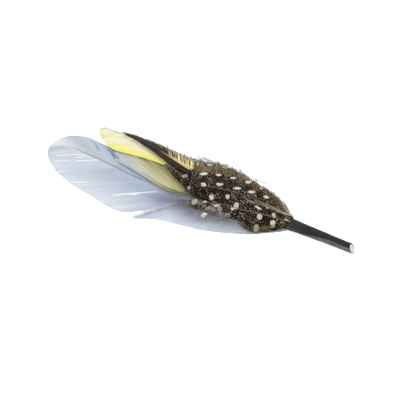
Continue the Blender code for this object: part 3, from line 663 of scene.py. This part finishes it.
def shaft(feather):
    """The shaft, from inside the stem to the feather's tip."""
    u = np.linspace(0, SHAFT_END, SHAFT_STATIONS)
    on_vane = raised(feather, along_curve(feather.spine, u), SHAFT_LIFT)
    radii = feather.shaft_radius * mix(1, SHAFT_TAPER, u)
    angle = math.radians(feather.bundle_angle)
    ring = np.array((0, math.cos(angle), math.sin(angle))) * BUNDLE_RADIUS
    mouth, end = np.array(STEM_MOUTH), np.array(STEM_END)
    stem = (end - mouth) / (end[0] - mouth[0])
    if feather.bundle_angle:
        in_stem = np.array([mouth + ring + stem * QUILL_REACH, mouth + ring - stem * QUILL_RUN])
        in_radii = [feather.shaft_radius] * 2
    else:
        in_stem = np.array([mouth, mix(mouth, on_vane[0], 0.5)])
        in_radii = [QUILL_MOUTH_RADIUS, mix(QUILL_MOUTH_RADIUS, feather.shaft_radius, 0.6)]
    paths = np.vstack([in_stem, on_vane])[None]
    half = np.concatenate([in_radii, radii])[None]
    place = np.stack([np.linspace(0, 1, half.size), np.full(half.size, 0.5)], axis=-1)
    return growth(paths, half, SHAFT_SLOT, np.full((half.size, 3), 0.5), place, sides=SHAFT_SIDES)


def thin_hairs(paths, half, kind):
    """Hairs along paths; their material reads how far along them a point is."""
    s = np.linspace(0, 1, paths.shape[1])[None] + np.zeros(paths.shape[:2])
    looks = np.stack([s, s, s], axis=-1)
    place = np.stack([s, 0 * s + 0.5], axis=-1)
    slot = HAIR_SLOT + list(HAIR_KINDS).index(kind)
    return growth(paths, half * mix(1, HAIR_TAPER, s), slot, looks, place)


def hairs(feather, draw, count, roots, tips, bulge, rise, half, scatter, kind):
    """Loose hairs from a line of roots to a line of tips."""
    s = np.linspace(0, 1, HAIR_STATIONS)
    share = draw.random(count)[:, None]
    root = mix(np.array(roots[:2]), np.array(roots[2:]), share) + draw.normal(0, scatter / 2, (count, 2))
    tip = mix(np.array(tips[:2]), np.array(tips[2:]), share) + draw.normal(0, scatter, (count, 2))
    way = tip - root
    side = np.stack([way[:, 1], -way[:, 0]], axis=-1)
    curl = bulge * draw.uniform(*HAIR_CURL, count)[:, None, None]
    wave = HAIR_WAVE * np.sin(s * HAIR_WAVES + HAIR_STARTS * draw.random(count)[:, None])[..., None]
    plan = (root[:, None] + way[:, None] * s[None, :, None]
            + side[:, None] * (curl * (s * (1 - s))[None, :, None] + wave * s[None, :, None]))
    lift = mix(rise[0], rise[1], s)[None] + draw.normal(0, TIP_SCATTER, count)[:, None] * s
    return thin_hairs(raised(feather, plan, lift), half, kind)


def mouth_fluff(draw, count, angles):
    """Short fluff round the quills, which hides the tape's mouth."""
    s = np.linspace(0, 1, FLUFF_STATIONS)
    angle = np.radians(draw.uniform(*angles, count))[:, None]
    angle = angle + draw.normal(0, TIP_SCATTER, count)[:, None] * s
    along = mix(draw.uniform(*FLUFF_ROOTS, count)[:, None], draw.uniform(*FLUFF_TIPS, count)[:, None], s)
    outside = STEM_RADII[0] + FLUFF_HEIGHT
    radius = mix(draw.uniform(*FLUFF_DEPTHS, count)[:, None], outside, np.sin(s * math.pi / 2))
    x = STEM_MOUTH.x + along
    y = STEM_MOUTH.y + STEM_SLOPE * along + np.cos(angle) * radius
    z = np.maximum(STEM_MOUTH.z + STEM_FALL * along + np.sin(angle) * radius, CLEARANCE)
    return thin_hairs(np.stack([x, y, z], axis=-1), FLUFF_HALF_WIDTH, "mouth_fluff")


def mesh_piece(name, grown, materials):
    """One mesh object from all that has grown."""
    corners, faces, slots, first = [], [], [], 0
    for part in grown:
        corners.append(part.corners)
        faces += [[i + first for i in face] for face in part.faces]
        slots += [part.slot] * len(part.faces)
        first += len(part.corners)
    points = np.vstack(corners)
    points[:, 0] -= CENTRE[0]
    points[:, 1] -= CENTRE[1]
    mesh = bpy.data.meshes.new(name)
    mesh.from_pydata((points * MM).tolist(), [], faces)
    mesh.polygons.foreach_set("material_index", slots)
    looks = np.ones((len(points), 4))
    looks[:, :3] = np.vstack([part.mark for part in grown])
    mesh.attributes.new("barb", "FLOAT_COLOR", "POINT").data.foreach_set("color", looks.ravel())
    ends = np.empty(len(mesh.loops), dtype=int)
    mesh.loops.foreach_get("vertex_index", ends)
    places = np.vstack([part.place for part in grown])[ends]
    mesh.uv_layers.new(name="vane").data.foreach_set("uv", places.ravel())
    for finish in materials:
        mesh.materials.append(finish)
    mesh.validate()
    piece = bpy.data.objects.new(name, mesh)
    bpy.context.collection.objects.link(piece)
    return piece


# Materials

def connect(tree, source, socket):
    """Links a node, or one of its outputs, to a socket, or sets the socket to a value."""
    if isinstance(source, bpy.types.Node):
        source = next(output for output in source.outputs if output.enabled)
    if isinstance(source, bpy.types.NodeSocket):
        tree.links.new(source, socket)
    else:
        socket.default_value = source


def node(tree, kind, values=(), stops=(), **settings):
    """Adds a node with its settings, what goes into it by name or in order, and a colour ramp's stops."""
    made = tree.nodes.new("ShaderNode" + kind)
    for name, setting in settings.items():
        setattr(made, name, setting)
    if not isinstance(values, dict):
        values = dict(zip((i for i, socket in enumerate(made.inputs) if socket.enabled), values))
    for name, value in values.items():
        connect(tree, value, made.inputs[name])
    if stops:
        elements = made.color_ramp.elements
        while len(elements) < len(stops):
            elements.new(1)
        for element, (position, value) in zip(elements, stops):
            element.position = position
            element.color = value
    return made


def shaded(name, roughness, **values):
    """A material with its Principled shader, ready for links."""
    made = bpy.data.materials.new(name)
    made.use_nodes = True
    shader = made.node_tree.nodes["Principled BSDF"]
    shader.inputs["Roughness"].default_value = roughness
    for socket, value in values.items():
        shader.inputs[socket.replace("_", " ")].default_value = value
    return made, made.node_tree, shader


def feather_material(name, near, far, marking, mark_range, uneven, streak=None, streak_end=ALL_ALONG,
                     marked_streak=None, painted_light_rim=None, speckle=None, fringe=None, ring=None, dull=False):
    """Keratin barbs: matt across, with a faint silk along them, each lock and barb a little different."""
    made, tree, shader = shaded(name, 0.8 if dull else 0.6, Sheen_Weight=0.03 if dull else 0.15,
                                Sheen_Roughness=0.5, Specular_IOR_Level=0.15 if dull else 0.5)
    place = node(tree, "UVMap", uv_map="vane")
    along, across, _ = node(tree, "SeparateXYZ", [place]).outputs
    looks = node(tree, "Attribute", attribute_name="barb")
    mark, by_barb, by_lock = node(tree, "SeparateColor", [looks]).outputs
    where = node(tree, "TexCoord").outputs["Object"]
    near_side = node(tree, "ValToRGB", [along], near)
    far_side = node(tree, "ValToRGB", [along], far)
    which = node(tree, "Math", [across, 0.5], operation="GREATER_THAN")
    shade = node(tree, "Mix", [which, near_side, far_side], data_type="RGBA")
    # Long streaks along the barbs, a millimetre apart and a third of a vane long
    stretch = node(tree, "Mapping", {"Vector": place, "Scale": (90, 3, 1)})
    streaks = node(tree, "TexNoise", {"Vector": stretch, "Scale": 1.0, "Detail": 3.0})
    strong = node(tree, "MapRange", [streaks, 0.5, 0.68])
    # Painted light: the near edge is lightened against the shade that falls on it
    if painted_light_rim:
        edge = node(tree, "MapRange", [across, 0.36, 0.04])
        shade = node(tree, "Mix", [edge, shade, painted_light_rim], data_type="RGBA")
    if streak:
        until = node(tree, "MapRange", [along, streak_end[1], streak_end[0]])
        streaked = node(tree, "Math", [strong, until], operation="MULTIPLY")
        shade = node(tree, "Mix", [streaked, shade, streak], data_type="RGBA")
    if fringe:
        # It thins out towards the feather's tip, and on some barbs more than on others
        edge = node(tree, "ValToRGB", [across], fringe)
        before = node(tree, "MapRange", [along, 0.9, 0.75])
        strength = node(tree, "MapRange", [by_barb, 0.2, 0.7, 0.3, 1])
        edged = node(tree, "Math", [edge.outputs["Alpha"], before], operation="MULTIPLY")
        edged = node(tree, "Math", [edged, strength], operation="MULTIPLY")
        shade = node(tree, "Mix", [edged, shade, edge], data_type="RGBA")
    if speckle:
        # Fine pale dots, closer and larger in some patches
        dots = node(tree, "TexVoronoi", {"Vector": where, "Scale": 1 / (SPECKLE_GAP * MM)})
        crowd = node(tree, "TexNoise", {"Vector": where, "Scale": 1 / (SPECKLE_PATCH * MM)})
        reach = node(tree, "MapRange", [crowd, 0.35, 0.65, 0.24, 0.4])
        inside = node(tree, "Math", [reach, dots], operation="SUBTRACT")
        flecks = node(tree, "MapRange", [inside, 0.0, 0.14])
        shade = node(tree, "Mix", [flecks, shade, speckle], data_type="RGBA")
    if ring:
        dark = node(tree, "MapRange", [mark, 0.85, 0.65])
        shade = node(tree, "Mix", [dark, shade, ring], data_type="RGBA")
    if marked_streak:
        marking = node(tree, "Mix", [strong, marking, marked_streak], data_type="RGBA")
    marked = node(tree, "MapRange", [mark, *mark_range])
    shade = node(tree, "Mix", [marked, shade, marking], data_type="RGBA")
    # Dye and pigment vary from lock to lock, from barb to barb, along the streaks and in soft patches
    patches = node(tree, "TexNoise", {"Vector": where, "Scale": 1 / (DYE_PATCH * MM), "Detail": 3.0})
    total = node(tree, "Math", [by_barb, by_lock], operation="ADD")
    total = node(tree, "Math", [total, patches], operation="ADD")
    total = node(tree, "Math", [streaks, 4, total], operation="MULTIPLY_ADD")
    value = node(tree, "MapRange", [total, 2.5, 4.5, 1 - uneven, 1 + uneven])
    tone = node(tree, "HueSaturation", {"Value": value, "Color": shade})
    connect(tree, tone, shader.inputs["Base Color"])
    # Barbules give a ripple of about a fifth of a millimetre, drawn twice as coarse
    ripple = node(tree, "TexNoise", {"Vector": where, "Scale": 1 / (RIPPLE * MM)})
    bump = node(tree, "Bump", {"Height": ripple, "Strength": 0.3, "Distance": RIPPLE_DEPTH * MM})
    connect(tree, bump, shader.inputs["Normal"])
    return made


def horn(name, tone, tip_tone, fade, roughness):
    """Horny shaft, hair or pith, made once: a little uneven, and of another colour towards its tip."""
    if name in bpy.data.materials:
        return bpy.data.materials[name]
    made, tree, shader = shaded(name, roughness)
    where = node(tree, "TexCoord").outputs["Object"]
    place = node(tree, "UVMap", uv_map="vane")
    along = node(tree, "SeparateXYZ", [place])
    onward = node(tree, "MapRange", [along, *fade])
    tone = node(tree, "Mix", [onward, colour(tone), colour(tip_tone)], data_type="RGBA")
    cloud = node(tree, "TexNoise", {"Vector": where, "Scale": 1 / (HORN_CLOUD * MM), "Detail": 3.0})
    value = node(tree, "MapRange", [cloud, 0.3, 0.7, 0.85, 1.15])
    shade = node(tree, "HueSaturation", {"Value": value, "Color": tone})
    connect(tree, shade, shader.inputs["Base Color"])
    return made


def evenly(*names):
    """Ramp stops at even distances."""
    return [(i / (len(names) - 1), colour(name)) for i, name in enumerate(names)]


def edging(clear, *stops):
    """Ramp stops across a vane: see-through at the first and covering from the second on."""
    return [(clear[0], (*colour(clear[1])[:3], 0))] + [(place, colour(name)) for place, name in stops]


def barb_material(kind, name):
    """The barbs' material of one kind of feather, made once."""
    if name in bpy.data.materials:
        return bpy.data.materials[name]
    if kind == "blue":
        # Its markings are painted highlight streaks, and painted light lightens its near edge
        return feather_material(
            name, evenly("blue_base", "blue_base", "blue_middle", "blue_vane", "blue_vane"),
            [(0.35, colour("blue_base")), (0.55, colour("blue_middle")), (0.7, colour("blue_far")),
             (0.86, colour("blue_tip"))],
            colour("bleached"), (0.1, 0.5), 0.09, painted_light_rim=colour("blue_rim"))
    if kind == "pale_blue":
        # Its markings are painted highlight streaks
        return feather_material(
            name, evenly("blue_middle", "blue_vane", "blue_vane"),
            evenly("blue_middle", "blue_vane", "blue_tip"), colour("bleached"), (0.1, 0.5), 0.09)
    if kind == "olive":
        olive = [(0, colour("olive_base")), (0.25, colour("olive_base")), (0.5, colour("olive_vane")),
                 (0.7, colour("olive_tip"))]
        return feather_material(name, olive, olive, colour("olive_tip"), (0.5, 1), 0.14,
                                streak=colour("olive_streak"), streak_end=(0.4, 0.62))
    if kind == "yellow":
        return feather_material(
            name, evenly("cream", "cream"), evenly("cream_streak", "cream_streak"), colour("yellow"),
            (0.2, 0.8), 0.1, streak=colour("cream_streak"), marked_streak=colour("yellow_streak"))
    if kind == "dark":
        return feather_material(
            name, evenly("dark_vane", "dark_vane"), evenly("dark_vane", "dark_vane"),
            colour("fringe_yellow"), (0.3, 0.7), 0.25, fringe=edging((0.7, "dark_tip"), (0.95, "dark_tip")),
            dull=True)
    fringe = None
    ground = [(0.8, colour("guinea_ground")), (0.97, colour("guinea_downy"))]
    if kind == "guinea":
        ground = evenly("guinea_ground", "guinea_ground")
        fringe = edging((0.72, "guinea_fringe"), (0.96, "guinea_fringe"), (1, "guinea_tips"))
    return feather_material(
        name, ground, ground, colour("guinea_spot"), (0.56, 0.48), 0.2, speckle=colour("guinea_speckle"),
        fringe=fringe, ring=colour("guinea_ring"), dull=True)


# Growing the feathers

def grow_feather(feather, seed):
    """One feather as one piece: its barbs, its shaft and its loose hairs."""
    barb_name, shaft_finish = KINDS[feather.kind]
    draw = np.random.default_rng(seed)
    grown = [barbs(feather, side, draw, LAYER_DROP * layer)
             for side, vane in ((-1, feather.near_vane), (1, feather.far_vane))
             for layer in range(vane.layers)]
    grown.append(shaft(feather))
    grown += [hairs(feather, draw, *about) for about in HAIRS.get(feather.node, ())]
    if feather.node in FLUFF:
        grown.append(mouth_fluff(draw, *FLUFF[feather.node]))
    finishes = [barb_material(feather.kind, barb_name), horn(*shaft_finish, SHAFT_ROUGHNESS)]
    finishes += [horn(name, *tones, HAIR_FADE, HAIR_ROUGHNESS) for name, tones in HAIR_KINDS.items()]
    piece = mesh_piece(feather.node + "_barbs", grown, finishes)
    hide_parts(feather.node)
    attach(piece, "root")
    return piece


def grow_all(*kinds):
    """Grows the feathers of these kinds; a feather's number in the list seeds its chance values."""
    return {feather.node: grow_feather(feather, seed)
            for seed, feather in enumerate(FEATHERS) if feather.kind in kinds}


def deselect():
    bpy.ops.object.select_all(action="DESELECT")


def to_world(point):
    return Vector((point[0] - CENTRE[0], point[1] - CENTRE[1], point[2])) * MM


def cut_slanting(fill):
    """Cuts the object in hand off at the stem's slanting end."""
    bpy.ops.object.mode_set(mode="EDIT")
    bpy.ops.mesh.select_all(action="SELECT")
    bpy.ops.mesh.bisect(plane_co=to_world(STEM_END), plane_no=CUT_NORMAL, use_fill=fill, clear_outer=True)


def thick_quill():
    """The large feather's stripped quill, which fills the stem; its cut end shows pith in a horny wall."""
    deselect()
    bpy.ops.mesh.primitive_cylinder_add(vertices=QUILL_SIDES, radius=1, depth=2)
    quill = bpy.context.object
    quill.name = "quill_in_stem"
    for vertex in quill.data.vertices:
        t = 1 + OVERLENGTH if vertex.co.z > 0 else -QUILL_OVERLAP
        centre = STEM_MOUTH.lerp(STEM_END, t)
        radius = mix(QUILL_MOUTH_RADIUS, QUILL_END_RADIUS, t)
        place = centre + Vector((0, vertex.co.x, vertex.co.y)) * radius
        place.z = max(place.z, FLAT_BELOW)
        vertex.co = to_world(place)
    cut_slanting(True)
    bpy.ops.mesh.inset(thickness=QUILL_WALL * MM, depth=-PITH_DEPTH * MM)
    bpy.ops.object.mode_set(mode="OBJECT")
    return quill


def add_quill(piece):
    """Joins the thick quill to the large feather."""
    quill = thick_quill()
    pith = horn("quill_pith", "pith", "pith", HAIR_FADE, PITH_ROUGHNESS)
    quill.data.materials.append(piece.data.materials["goose_shaft"])
    quill.data.materials.append(pith)
    for face in quill.data.polygons:
        face.material_index = 1 if face.normal.dot(CUT_NORMAL) > 0.9 else 0
    quill.data.uv_layers[0].name = "vane"
    deselect()
    quill.select_set(True)
    piece.select_set(True)
    bpy.context.view_layer.objects.active = piece
    bpy.ops.object.join()


class MOUNT_OT_blue_feathers(bpy.types.Operator):
    """Grows the two pale blue feathers and the thick quill of the large one"""
    bl_idname = "mount.blue_feathers"
    bl_label = "Blue Feathers"

    def execute(self, context):
        pieces = grow_all("blue", "pale_blue")
        add_quill(pieces["blue_feather_large"])
        return {"FINISHED"}


class MOUNT_OT_coloured_feathers(bpy.types.Operator):
    """Grows the olive, yellow and dark feathers"""
    bl_idname = "mount.coloured_feathers"
    bl_label = "Olive, Yellow and Dark Feathers"

    def execute(self, context):
        grow_all("olive", "yellow", "dark")
        return {"FINISHED"}


class MOUNT_OT_guinea_feathers(bpy.types.Operator):
    """Grows the four spotted feathers"""
    bl_idname = "mount.guinea_feathers"
    bl_label = "Spotted Feathers"

    def execute(self, context):
        grow_all("guinea", "guinea_inner")
        return {"FINISHED"}


def wrap_material():
    """Rubbered tape stretched round the quills: black, with a soft shine that the wrinkles break."""
    made, tree, shader = shaded("rubbered_tape_black", 0.5, Specular_IOR_Level=0.35)
    along, turned, _ = node(tree, "SeparateXYZ", [node(tree, "UVMap", uv_map="wrap")]).outputs
    where = node(tree, "TexCoord").outputs["Object"]
    cloud = node(tree, "TexNoise", {"Vector": where, "Scale": 1 / (TAPE_CLOUD * MM), "Detail": 4.0})
    value = node(tree, "MapRange", [cloud, 0.3, 0.7, 0.7, 1.3])
    shade = node(tree, "HueSaturation", {"Value": value, "Color": colour("wrap_black")})
    mouth = node(tree, "MapRange", [along, 0.22, 0.05])
    tone = node(tree, "Mix", [mouth, shade, colour("wrap_violet")], data_type="RGBA")
    # Beside the tape's edge, grey streaks along the stem are painted highlight, faint near the mouth where
    # they make a thin highlight line
    stretch = node(tree, "Mapping", {"Vector": where, "Scale": (0.12, 1, 1)})
    streaks = node(tree, "TexNoise", {"Vector": stretch, "Scale": 1 / (SEAM_HIGHLIGHT_STREAK * MM), "Detail": 3.0})
    streaks = node(tree, "MapRange", [streaks, 0.3, 0.6])
    onward = node(tree, "MapRange", [along, 0.1, 0.5, 0.25, 1])
    beside = node(tree, "MapRange", [turned, 0.2, 0.17])
    painted_highlight = node(tree, "Math", [streaks, onward], operation="MULTIPLY")
    painted_highlight = node(tree, "Math", [painted_highlight, beside], operation="MULTIPLY")
    tone = node(tree, "Mix", [painted_highlight, tone, colour("wrap_seam")], data_type="RGBA")
    connect(tree, tone, shader.inputs["Base Color"])
    rough = node(tree, "MapRange", [cloud, 0.3, 0.7, 0.4, 0.62])
    connect(tree, rough, shader.inputs["Roughness"])
    bump = node(tree, "Bump", {"Height": cloud, "Strength": 0.35, "Distance": TAPE_DEPTH * MM})
    connect(tree, bump, shader.inputs["Normal"])
    return made


def on_wrap(along, turn):
    """A point of the tape before it is cut: a spiral that tapers to the stem's end and lies flat below."""
    length = STEM_END.x - STEM_MOUTH.x
    angle = math.radians(np.interp(along, *SEAM)) + turn * math.tau
    wrinkles = sum(math.sin(along * length_waves + round_waves * angle + start)
                   for length_waves, round_waves, start in WRINKLES) / len(WRINKLES)
    mouth, half_way, end = STEM_RADII
    radius = (mouth * (1 - along) * (1 - 2 * along) + 4 * half_way * along * (1 - along)
              + end * along * (2 * along - 1))
    radius += WRAP_STEP * (turn - 1) - size("wrinkle") / MM * (1 + wrinkles)
    centre = STEM_MOUTH.lerp(STEM_END, along)
    x = centre.x + length * OVERLENGTH * along
    y = centre.y + math.cos(angle) * radius
    z = centre.z + math.sin(angle) * radius
    return Vector((x, y, max(z, FLAT_BELOW)))


class MOUNT_OT_wrapped_stem(bpy.types.Operator):
    """Rolls the black tape round the quills"""
    bl_idname = "mount.wrapped_stem"
    bl_label = "Wrapped Stem"

    def execute(self, context):
        deselect()
        bpy.ops.mesh.primitive_grid_add(x_subdivisions=WRAP_GRID[0], y_subdivisions=WRAP_GRID[1], size=2)
        wrap = context.object
        wrap.name = "stem_wrap"
        wrap.data.uv_layers[0].name = "wrap"
        for vertex in wrap.data.vertices:
            along = (vertex.co.x + 1) / 2
            turn = (vertex.co.y + 1) / 2 * WRAP_TURNS
            vertex.co = to_world(on_wrap(along, turn))
        cut_slanting(False)
        bpy.ops.object.mode_set(mode="OBJECT")
        wall = wrap.modifiers.new("Wall", "SOLIDIFY")
        wall.thickness = WRAP_THICKNESS * MM
        wall.offset = -1
        bpy.ops.object.modifier_apply(modifier=wall.name)
        bpy.ops.object.shade_smooth_by_angle(angle=WRAP_SMOOTH)
        wrap.data.materials.append(wrap_material())
        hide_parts("stem_sleeve")
        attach(wrap, "root")
        return {"FINISHED"}


class MOUNT_OT_stage(bpy.types.Operator):
    """Lays the floor, hangs the lights and sets the camera"""
    bl_idname = "mount.stage"
    bl_label = "Stage"

    def execute(self, context):
        deselect()
        bpy.ops.mesh.primitive_plane_add(size=size("floor_size"), location=(0, 0, 0))
        floor = context.object
        floor.name = "floor"
        bpy.ops.transform.translate(value=(0, 0, -FLOOR_DEPTH * MM))
        bpy.ops.object.transform_apply(location=True)
        paper, tree, shader = shaded("matt_white_paper", 0.9)
        where = node(tree, "TexCoord").outputs["Object"]
        grain = node(tree, "TexNoise", {"Vector": where, "Scale": 1 / (PAPER_GRAIN * MM)})
        value = node(tree, "MapRange", [grain, 0, 1, 0.98, 1.02])
        tone = node(tree, "HueSaturation", {"Value": value, "Color": colour("floor")})
        connect(tree, tone, shader.inputs["Base Color"])
        shader.inputs["Emission Color"].default_value = (1, 1, 1, 1)
        shader.inputs["Emission Strength"].default_value = PAPER_GLOW
        floor.data.materials.append(paper)

        world = bpy.data.worlds.new("studio")
        world.use_nodes = True
        sky = world.node_tree.nodes["Background"]
        sky.inputs["Color"].default_value = (1, 1, 1, 1)
        sky.inputs["Strength"].default_value = SKY_STRENGTH
        context.scene.world = world
        bpy.ops.object.light_add(type="AREA", location=LAMP_PLACE)
        lamp = context.object
        lamp.data.shape = "DISK"
        lamp.data.size = LAMP_WIDTH
        lamp.data.energy = LAMP_POWER
        lamp.rotation_euler = (-lamp.location).to_track_quat("-Z", "Y").to_euler()

        level = math.cos(CAMERA_ELEVATION)
        back = Vector((math.sin(CAMERA_AZIMUTH) * level, -math.cos(CAMERA_AZIMUTH) * level,
                       math.sin(CAMERA_ELEVATION)))
        bpy.ops.object.camera_add(location=to_world((0, 0, 0)) + back * size("camera_distance"))
        camera = context.object
        camera.data.lens = LENS
        camera.data.sensor_width = SENSOR
        camera.rotation_euler = (-back).to_track_quat("-Z", "Y").to_euler()
        context.scene.camera = camera
        context.scene.view_settings.view_transform = "Standard"
        return {"FINISHED"}


class MOUNT_PT_panel(bpy.types.Panel):
    """Sidebar panel that lists the steps of the mount"""
    bl_label = "Hat Feather Mount"
    bl_idname = "MOUNT_PT_panel"
    bl_space_type = "VIEW_3D"
    bl_region_type = "UI"
    bl_category = "Feather Mount"

    def draw(self, context):
        for step in STEPS:
            self.layout.operator(step.bl_idname)
        for group, names in ((context.scene.mount_sizes, SIZES), (context.scene.mount_colours, COLOURS)):
            for name in names:
                self.layout.prop(group, name)


STEPS = (MOUNT_OT_blue_feathers, MOUNT_OT_coloured_feathers, MOUNT_OT_guinea_feathers, MOUNT_OT_wrapped_stem,
         MOUNT_OT_stage)
CLASSES = (MountColours, MountSizes, *STEPS, MOUNT_PT_panel)


def register():
    for kind in CLASSES:
        bpy.utils.register_class(kind)
    bpy.types.Scene.mount_colours = bpy.props.PointerProperty(type=MountColours)
    bpy.types.Scene.mount_sizes = bpy.props.PointerProperty(type=MountSizes)


def unregister():
    del bpy.types.Scene.mount_sizes
    del bpy.types.Scene.mount_colours
    for kind in reversed(CLASSES):
        bpy.utils.unregister_class(kind)


def main():
    register()
    bpy.ops.mount.blue_feathers()
    bpy.ops.mount.coloured_feathers()
    bpy.ops.mount.guinea_feathers()
    bpy.ops.mount.wrapped_stem()
    bpy.ops.mount.stage()


if __name__ == "__main__":
    main()
